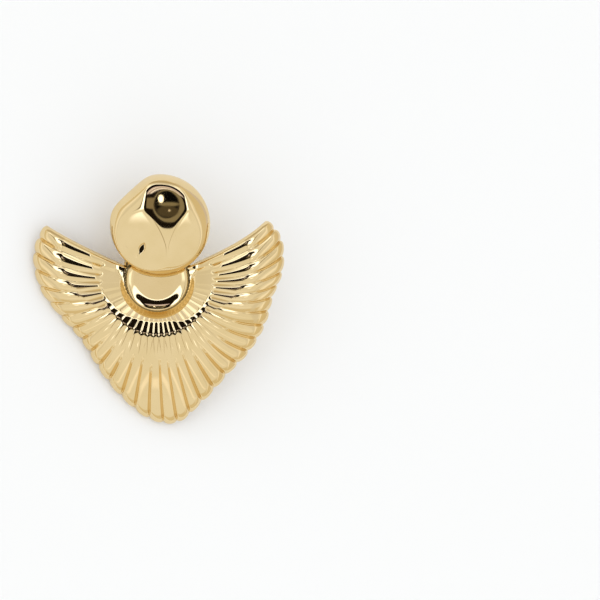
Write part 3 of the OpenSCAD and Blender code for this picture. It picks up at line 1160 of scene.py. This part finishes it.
@dataclass
class FanButton(Piece):
    """The round polished boss in the fan's root, its top leaning towards the head.

    Lengths are in millimetres.

    Attributes:
        radius: its radius.
        flat_r: radius of its flat top.
        rounding: radius that the top rounds down with past that.
        turn_r: distance from its centre at which it turns down harder.
        edge_rounding: radius that it rounds down with past that.
        lean: how far the top leans, in degrees.
        height: height of its middle.
        seat_gap: gap under it, where the solder is.
        fillet: radius of the round edge between its top and its side.
        faces: number of faces from side to side.
        crowd: how much closer they lie towards the edge, from 0 to 1.
        passes: how often the height of the leaning top is worked out afresh.
    """

    radius: float = 5.5
    flat_r: float = 3.5
    rounding: float = 7.0
    turn_r: float = 4.8
    edge_rounding: float = 3.0
    lean: float = 14.0
    height: float = 1.66
    seat_gap: float = 0.05
    fillet: float = 0.18
    faces: int = 120
    crowd: float = 0.9
    passes: int = 12

    def top(self, x: np.ndarray, y: np.ndarray) -> np.ndarray:
        """Gives the height of the leaning top.

        Args:
            x: places to the right of the button's centre.
            y: places above the button's centre.

        Returns:
            The heights.
        """
        lean = math.radians(self.lean)
        z = np.full_like(x, self.height)
        for _ in range(self.passes):
            along = y * math.cos(lean) - (z - self.height) * math.sin(lean)
            out = np.clip(np.hypot(x, along) - self.flat_r, 0, None)
            past = np.clip(np.hypot(x, along) - self.turn_r, 0, None)
            tighter = past ** 2 / 2 * (1 / self.edge_rounding - 1 / self.rounding)
            drop = out ** 2 / (2 * self.rounding) + tighter + y * math.sin(lean)
            z = self.height - drop / math.cos(lean)
        return z

    def build(self) -> bpy.types.Object:
        """Builds, dresses and lays the button.

        Returns:
            The finished piece.
        """
        obj, angle, share = disc_grid("fan_button_boss", self.faces, self.crowd)
        r = share * self.radius
        x = r * np.cos(angle)
        y = r * np.sin(angle)
        over = np.clip((r - (self.radius - self.fillet)) / self.fillet, 0, 1)
        z = self.top(x, y) - self.fillet * (1 - np.sqrt(1 - over ** 2))
        put_points(obj, np.stack([x, y, z], axis=-1))
        select_loops(obj, share == 1)
        bpy.ops.mesh.extrude_region_move()
        bpy.ops.transform.resize(value=(1, 1, 0), center_override=(0, 0, self.seat_gap))
        bpy.ops.mesh.edge_face_add()
        bpy.ops.object.mode_set(mode="OBJECT")
        close_normals(obj)
        self.dress(obj)
        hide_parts("fan_button")
        return obj


@dataclass
class EarPost(Piece):
    """The post with its round solder pad, on the head's back.

    Lengths are in millimetres.

    Attributes:
        radius: the post's radius.
        length: the post's length.
        pad_r: the pad's radius.
        pad_t: the pad's thickness.
        spot: where it stands on the face.
        seat_z: height of the pad's upper side.
        bevel: radius of the round edge under the pad.
        solder: radius of the solder's hollow between post and pad.
        tip_steps: number of faces from the tip's middle to the post's side.
        round_steps: number of faces round the solder and round the pad's edge.
        sides: number of sides.
    """

    edge_angle: float = 40.0
    radius: float = 0.4
    length: float = 10.4
    pad_r: float = 1.7
    pad_t: float = 0.7
    spot: tuple[float, float] = (0.5, 11.7)
    seat_z: float = 1.5
    bevel: float = 0.12
    solder: float = 0.35
    tip_steps: int = 8
    round_steps: int = 5
    sides: int = 64

    def profile(self) -> list[tuple[float, float]]:
        """Draws the turned outline, from the tip to the pad.

        Returns:
            Radius of each ring, and its height over the pad's lower side.
        """
        rings = []
        for a in quarter(self.tip_steps, 1):
            rise = self.radius * (1 - math.cos(a))
            rings.append((self.radius * math.sin(a), rise - self.length))
        for a in quarter(self.round_steps, 0):
            out = self.solder * (1 - math.cos(a))
            rings.append((self.radius + out, -self.solder * (1 - math.sin(a))))
        for a in quarter(self.round_steps, 1):
            short = self.bevel * (1 - math.sin(a))
            rings.append((self.pad_r - short, self.bevel * (1 - math.cos(a))))
        rings.append((self.pad_r, self.pad_t))
        return rings

    def build(self) -> bpy.types.Object:
        """Builds, dresses and lays the post.

        Returns:
            The finished piece.
        """
        obj = turned("ear_post_wire", self.profile(), self.sides)
        put_points(obj, points_of(obj) + np.array([*self.spot, self.seat_z - self.pad_t]))
        self.dress(obj)
        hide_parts("ear_post")
        return obj


# The studio

SOFT_LIGHT = (0.96, 0.97, 0.97)
DARK = (0.012, 0.009, 0.007)


class Patch(NamedTuple):
    """A light or dark patch of the studio, as the face mirrors it.

    A patch lies by slope: a surface that slopes by x to the right and y up mirrors it. x, y is its
    middle, w and h are its half sizes, soft is how far its edge fades, and round says that it is an
    ellipse.
    """

    x: float
    y: float
    w: float
    h: float
    soft: float
    colour: Colour
    round: bool = False


def both_sides(x: float, y: float, w: float, h: float, soft: float,
               colour: Colour) -> tuple[Patch, Patch]:
    """Gives a patch on the left and the same one on the right."""
    return Patch(-x, y, w, h, soft, colour), Patch(x, y, w, h, soft, colour)


@dataclass
class Studio:
    """The pale floor, the soft light all round and what the metal mirrors.

    Attributes:
        face: where the earring's face lies.
        room: colour of the dim room round the soft light.
        fill: the light on what doesn't mirror.
        backdrop: what the camera sees past the floor.
        floor_colour: the floor's colour.
        floor_roughness: the floor's roughness.
        floor_gloss: the floor's specular level.
        floor_size: the floor's width, in metres.
        patches: what the metal mirrors in the room, each patch over those before it.
        least: the least that slopes are divided by.
    """

    face: FaceFrame
    room: Colour = (0.76, 0.74, 0.84)
    fill: Colour = (1.056, 1.067, 1.067)
    backdrop: Colour = (1.0, 1.0, 1.0)
    floor_colour: Colour = (0.93, 0.93, 0.925)
    floor_roughness: float = 0.9
    floor_gloss: float = 0.1
    floor_size: float = 3.0
    patches: tuple[Patch, ...] = (
        # The tan ring round the soft light, that light, and its dark upper side
        Patch(0, 0, 1.15, 1.15, 0.1, (0.82, 0.75, 0.6), True),
        Patch(0, 0, 0.58, 0.58, 0.06, SOFT_LIGHT, True),
        Patch(0, 0.72, 0.5, 0.27, 0.09, (0.62, 0.56, 0.46), True),
        # Stripes and faint spots, which draw the streaks along the ribs
        Patch(0, 0.345, 0.14, 0.045, 0.02, (0.83, 0.83, 0.92)),
        Patch(0.37, 0.06, 0.05, 0.08, 0.02, (0.82, 0.81, 0.8)),
        *both_sides(0.36, 0, 0.02, 0.6, 0.02, (0.85, 0.85, 0.85)),
        *both_sides(0.45, 0, 0.03, 0.6, 0.02, (1.15, 1.15, 1.18)),
        Patch(0, -0.27, 0.09, 0.008, 0.006, (0.6, 0.55, 0.48)),
        Patch(0, -0.38, 0.25, 0.015, 0.02, (1.2, 1.2, 1.25)),
        Patch(-0.24, 0.27, 0.06, 0.06, 0.04, (1.5, 1.6, 1.8)),
        Patch(0.2, 0.3, 0.05, 0.05, 0.04, (1.5, 1.6, 1.8)),
        *both_sides(0.275, 0.02, 0.01, 0.2, 0.008, (0.2, 0.16, 0.1)),
        # The dark half disc with its bright rim, and the two lamps at its sides
        Patch(0, 0, 0.25, 0.25, 0.012, (2.0, 2.2, 2.7), True),
        Patch(0, 0.265, 0.12, 0.04, 0.01, (0.9, 0.89, 0.88)),
        Patch(0, 0, 0.205, 0.205, 0.008, DARK, True),
        Patch(0, -0.14, 0.3, 0.14, 0.01, SOFT_LIGHT),
        *both_sides(0.2, 0.01, 0.05, 0.06, 0.03, (2.2, 2.4, 3.0)),
        # Thin rings below it, their lower half covered, with faint marks on the cover
        Patch(0, -0.035, 0.132, 0.132, 0.006, (0.62, 0.54, 0.72), True),
        Patch(0, -0.035, 0.118, 0.118, 0.005, (1.25, 1.25, 1.5), True),
        Patch(0, -0.035, 0.112, 0.112, 0.005, (0.5, 0.42, 0.5), True),
        Patch(0, -0.035, 0.103, 0.103, 0.005, (1.25, 1.25, 1.5), True),
        Patch(0, -0.035, 0.096, 0.096, 0.005, (0.02, 0.015, 0.01), True),
        Patch(0, -0.165, 0.2, 0.065, 0.006, SOFT_LIGHT),
        Patch(-0.1, -0.17, 0.012, 0.06, 0.01, (0.5, 0.44, 0.36)),
        Patch(0.1, -0.17, 0.01, 0.06, 0.01, (0.55, 0.49, 0.4)),
        Patch(-0.215, -0.15, 0.016, 0.02, 0.02, (1.6, 1.7, 2.0)),
        Patch(0.235, -0.16, 0.02, 0.024, 0.02, (1.6, 1.7, 2.0)),
        # The dark middle with a round glass in it
        Patch(0, -0.03, 0.145, 0.07, 0.008, DARK),
        Patch(0.011, -0.008, 0.068, 0.068, 0.006, (0.3, 0.27, 0.2), True),
        Patch(-0.07, 0.0, 0.02, 0.022, 0.006, (0.28, 0.24, 0.17)),
        Patch(0, -0.006, 0.052, 0.055, 0.005, (0.03, 0.025, 0.02), True),
        Patch(0, 0.004, 0.046, 0.048, 0.004, (0.004, 0.004, 0.004), True),
        Patch(0.01, -0.004, 0.04, 0.008, 0.006, (0.28, 0.25, 0.18), True),
        Patch(0.004, -0.032, 0.042, 0.022, 0.008, (0.09, 0.075, 0.05), True),
        Patch(0.011, -0.029, 0.004, 0.004, 0.003, (1.0, 0.9, 0.8), True),
        Patch(-0.0235, 0.018, 0.01, 0.015, 0.004, (3.0, 3.0, 3.0), True),
    )
    least: float = 0.001

    def floor(self) -> None:
        """Lays the plain pale floor under the earring."""
        deselect_all()
        bpy.ops.mesh.primitive_plane_add(size=self.floor_size)
        obj = bpy.context.object
        obj.name = obj.data.name = "studio_floor"
        material = bpy.data.materials.new("pale_floor")
        material.use_nodes = True
        surface = material.node_tree.nodes["Principled BSDF"]
        surface.inputs["Base Color"].default_value = (*self.floor_colour, 1)
        surface.inputs["Roughness"].default_value = self.floor_roughness
        surface.inputs["Specular IOR Level"].default_value = self.floor_gloss
        obj.data.materials.append(material)

    def world(self) -> None:
        """Makes the light all round, with what stands about the camera as the metal mirrors it."""
        world = bpy.data.worlds.new("studio")
        bpy.context.scene.world = world
        world.use_nodes = True
        tree = world.node_tree
        tree.nodes.clear()
        ray = tree.nodes.new("ShaderNodeTexCoord").outputs["Generated"]
        toward = self._math(tree, "ADD", self._dot(tree, ray, self.face.normal), 1.0)
        under = self._math(tree, "MAXIMUM", toward, self.least)
        slope_x = self._math(tree, "DIVIDE", self._dot(tree, ray, self.face.right), under)
        slope_y = self._math(tree, "DIVIDE", self._dot(tree, ray, self.face.up), under)
        colour = self._colour(tree, self.room)
        for patch in self.patches:
            colour = self._over(tree, colour, patch, slope_x, slope_y)
        path = tree.nodes.new("ShaderNodeLightPath")
        fill = self._colour(tree, self.fill)
        soft = self._mix(tree, path.outputs["Is Diffuse Ray"], colour, fill)
        backdrop = self._colour(tree, self.backdrop)
        plain = self._mix(tree, path.outputs["Is Camera Ray"], soft, backdrop)
        light = tree.nodes.new("ShaderNodeBackground")
        tree.links.new(plain, light.inputs["Color"])
        out = tree.nodes.new("ShaderNodeOutputWorld")
        tree.links.new(light.outputs["Background"], out.inputs["Surface"])

    def _over(self, tree: Tree, under: Socket, patch: Patch, slope_x: Socket,
              slope_y: Socket) -> Socket:
        """Lays one patch over the colour so far.

        Args:
            tree: the world's nodes.
            under: the colour so far.
            patch: the patch.
            slope_x: slope to the right of the surface that mirrors a direction.
            slope_y: slope upwards of that surface.

        Returns:
            The colour with the patch.
        """
        x = self._math(tree, "DIVIDE", self._math(tree, "SUBTRACT", slope_x, patch.x), patch.w)
        y = self._math(tree, "DIVIDE", self._math(tree, "SUBTRACT", slope_y, patch.y), patch.h)
        if patch.round:
            x_squared = self._math(tree, "MULTIPLY", x, x)
            y_squared = self._math(tree, "MULTIPLY", y, y)
            far = self._math(tree, "SQRT", self._math(tree, "ADD", x_squared, y_squared))
        else:
            x_far = self._math(tree, "ABSOLUTE", x)
            y_far = self._math(tree, "ABSOLUTE", y)
            far = self._math(tree, "MAXIMUM", x_far, y_far)
        fade = patch.soft / min(patch.w, patch.h)
        inside = map_range(tree, far, 1 + fade / 2, 1 - fade / 2)
        inside.interpolation_type = "SMOOTHSTEP"
        colour = self._colour(tree, patch.colour)
        return self._mix(tree, inside.outputs["Result"], under, colour)

    @staticmethod
    def _colour(tree: Tree, colour: Colour) -> Socket:
        """Adds a plain colour.

        Args:
            tree: the world's nodes.
            colour: the colour.

        Returns:
            The node's colour.
        """
        node = tree.nodes.new("ShaderNodeRGB")
        node.outputs[0].default_value = (*colour, 1)
        return node.outputs[0]

    @staticmethod
    def _mix(tree: Tree, share: Socket, a: Socket, b: Socket) -> Socket:
        """Mixes two colours.

        Args:
            tree: the world's nodes.
            share: how much of the second colour there is.
            a: the first colour.
            b: the second colour.

        Returns:
            The mixed colour.
        """
        node = tree.nodes.new("ShaderNodeMix")
        node.data_type = "RGBA"
        node.clamp_result = False
        tree.links.new(share, node.inputs[0])
        tree.links.new(a, node.inputs[MIX_A])
        tree.links.new(b, node.inputs[MIX_B])
        return node.outputs[MIX_RESULT]

    @staticmethod
    def _dot(tree: Tree, ray: Socket, way: Vector) -> Socket:
        """Adds the share of a ray that goes one way.

        Args:
            tree: the world's nodes.
            ray: the ray's direction.
            way: the way.

        Returns:
            The share, from -1 to 1.
        """
        node = tree.nodes.new("ShaderNodeVectorMath")
        node.operation = "DOT_PRODUCT"
        tree.links.new(ray, node.inputs[0])
        node.inputs[1].default_value = way
        return node.outputs["Value"]

    @staticmethod
    def _math(tree: Tree, operation: str, a: Socket, b: Socket | float | None = None) -> Socket:
        """Adds a sum on one or two values.

        Args:
            tree: the world's nodes.
            operation: the node's name for the sum.
            a: the first value.
            b: the second value, if the sum takes two.

        Returns:
            The result.
        """
        node = tree.nodes.new("ShaderNodeMath")
        node.operation = operation
        tree.links.new(a, node.inputs[0])
        if isinstance(b, (int, float)):
            node.inputs[1].default_value = b
        elif b is not None:
            tree.links.new(b, node.inputs[1])
        return node.outputs[0]

    def build(self) -> None:
        """Lays the floor and makes the light."""
        self.floor()
        self.world()


@dataclass
class FaceCamera:
    """The camera: straight in front of the earring, which stands at the left of the frame.

    Attributes:
        face: where the earring's face lies.
        lens: focal length, in millimetres.
        sensor: width of the sensor, in millimetres.
        frame_px: width of the frame, in pixels.
        pixel_mm: size of a pixel on the earring's face.
        button_px: where the frame shows the button's centre, in pixels from the top left.
        aim_z: level of the plane whose pixels have that size, in millimetres.
        nearest: distance from which the camera sees, in metres.
        farthest: distance up to which it sees, in metres.
    """

    face: FaceFrame
    lens: float = 250.0
    sensor: float = 36.0
    frame_px: int = 600
    pixel_mm: float = 0.18
    button_px: tuple[float, float] = (157.2, 280.0)
    aim_z: float = 0.0
    nearest: float = 0.01
    farthest: float = 10.0

    def build(self) -> None:
        """Puts the camera in its place and makes it the scene's."""
        middle = self.frame_px / 2
        centre_x = (middle - self.button_px[0]) * self.pixel_mm
        centre_y = (self.button_px[1] - middle) * self.pixel_mm
        distance = self.frame_px * self.pixel_mm * self.lens / self.sensor
        stand = self.face.at(0, centre_y, self.aim_z + distance)
        target = self.face.at(centre_x, centre_y, self.aim_z)
        data = bpy.data.cameras.new("face_camera")
        data.lens = self.lens
        data.sensor_width = self.sensor
        data.clip_start = self.nearest
        data.clip_end = self.farthest
        obj = bpy.data.objects.new("face_camera", data)
        bpy.context.scene.collection.objects.link(obj)
        back = (stand - target).normalized()
        right = self.face.up.cross(back).normalized()
        turn = Matrix((right, back.cross(right), back)).transposed().to_4x4()
        obj.matrix_world = Matrix.Translation(stand) @ turn
        bpy.context.scene.camera = obj


def ride(obj: bpy.types.Object) -> None:
    """Seats a finished piece on the earring's body and logs it.

    Args:
        obj: the piece.
    """
    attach(obj, BODY)
    faces = sum(len(polygon.vertices) - 2 for polygon in obj.data.polygons)
    log.info("%s: %d triangles", obj.name, faces)


def main() -> None:
    """Builds the earring piece by piece, then its studio and camera."""
    logging.basicConfig(level=logging.INFO, format="%(name)s: %(message)s")
    bpy.context.scene.view_settings.view_transform = "Standard"
    face = FaceFrame.from_record(frame["record"])
    FaceCamera(face).build()
    fan_gold = PlatedGold("fan_plating", haze=0.06)
    button_gold = PlatedGold("button_plating", haze=0.05, ripple_depth=0.001)
    head_gold = PlatedGold("head_plating", haze=0.05, ripple_depth=0.002)
    post_gold = PlatedGold("post_plating")
    ride(Fan(face, fan_gold).build())
    ride(FanButton(face, button_gold).build())
    ride(StudHead(face, head_gold).build())
    ride(EarPost(face, post_gold).build())
    Studio(face).build()


if __name__ == "__main__":
    main()
